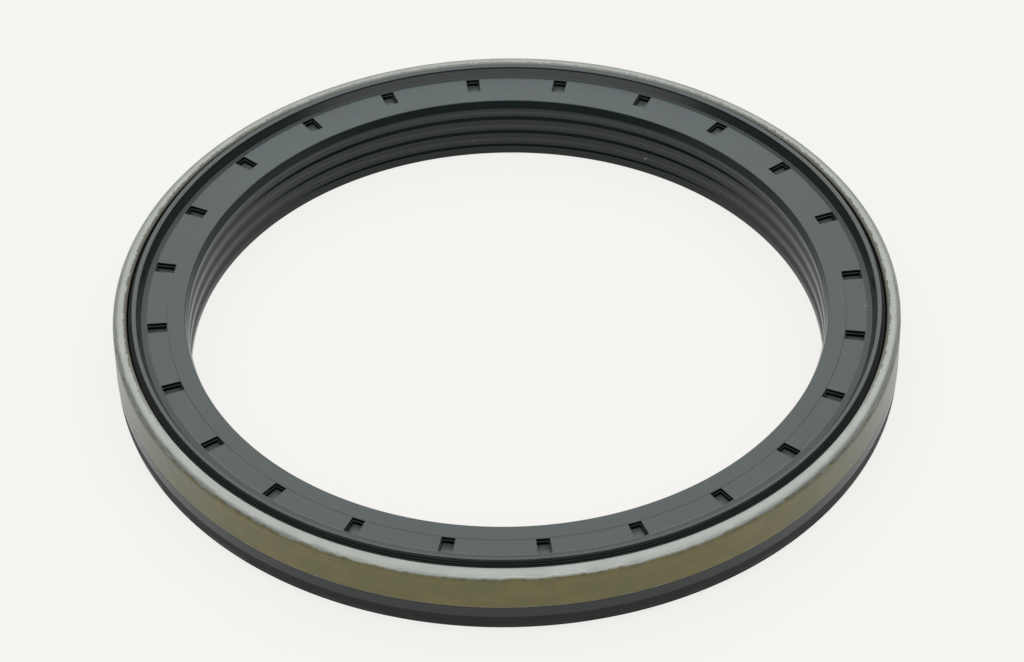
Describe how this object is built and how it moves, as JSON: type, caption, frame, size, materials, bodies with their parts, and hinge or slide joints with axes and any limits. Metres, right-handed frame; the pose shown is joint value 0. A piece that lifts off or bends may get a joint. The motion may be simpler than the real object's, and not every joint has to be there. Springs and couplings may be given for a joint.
{
  "type": "radial shaft seal",
  "caption": "Cassette radial shaft seal: metal and rubber outer case with a spring-loaded lip, and an inner ring with a ribbed rubber bore and a pocketed face that turns inside it.",
  "frame": {"origin": "on the shaft axis, at the inner ring's lower end, on which the seal lies", "axes": "+Z along the shaft axis from the lower (oil) side towards the pocketed face; +X to the right in the picture, +Y away from the camera"},
  "size_m": [0.16, 0.16, 0.016],
  "materials": {
    "case_steel": "drawn sheet steel, bright at the folded rim, olive to tan bonding coat on the seat",
    "seal_rubber": "dark grey moulded nitrile rubber, satin",
    "spring_steel": "bright drawn spring wire",
    "sleeve_steel": "smooth ground running surface",
    "cover_rubber": "grey moulded rubber, satin face and darker bore"
  },
  "bodies": {
    "outer_ring": {"outer_case": "case_steel", "sealing_element": "seal_rubber", "garter_spring": "spring_steel"},
    "inner_ring": {"running_sleeve": "sleeve_steel", "inner_ring_cover": "cover_rubber"}
  },
  "joints": [
    {"name": "inner_ring_turn", "type": "hinge", "parent": "outer_ring", "child": "inner_ring", "pos_m": [0, 0, 0.008], "axis": [0, 0, 1], "continuous": true}
  ]
}
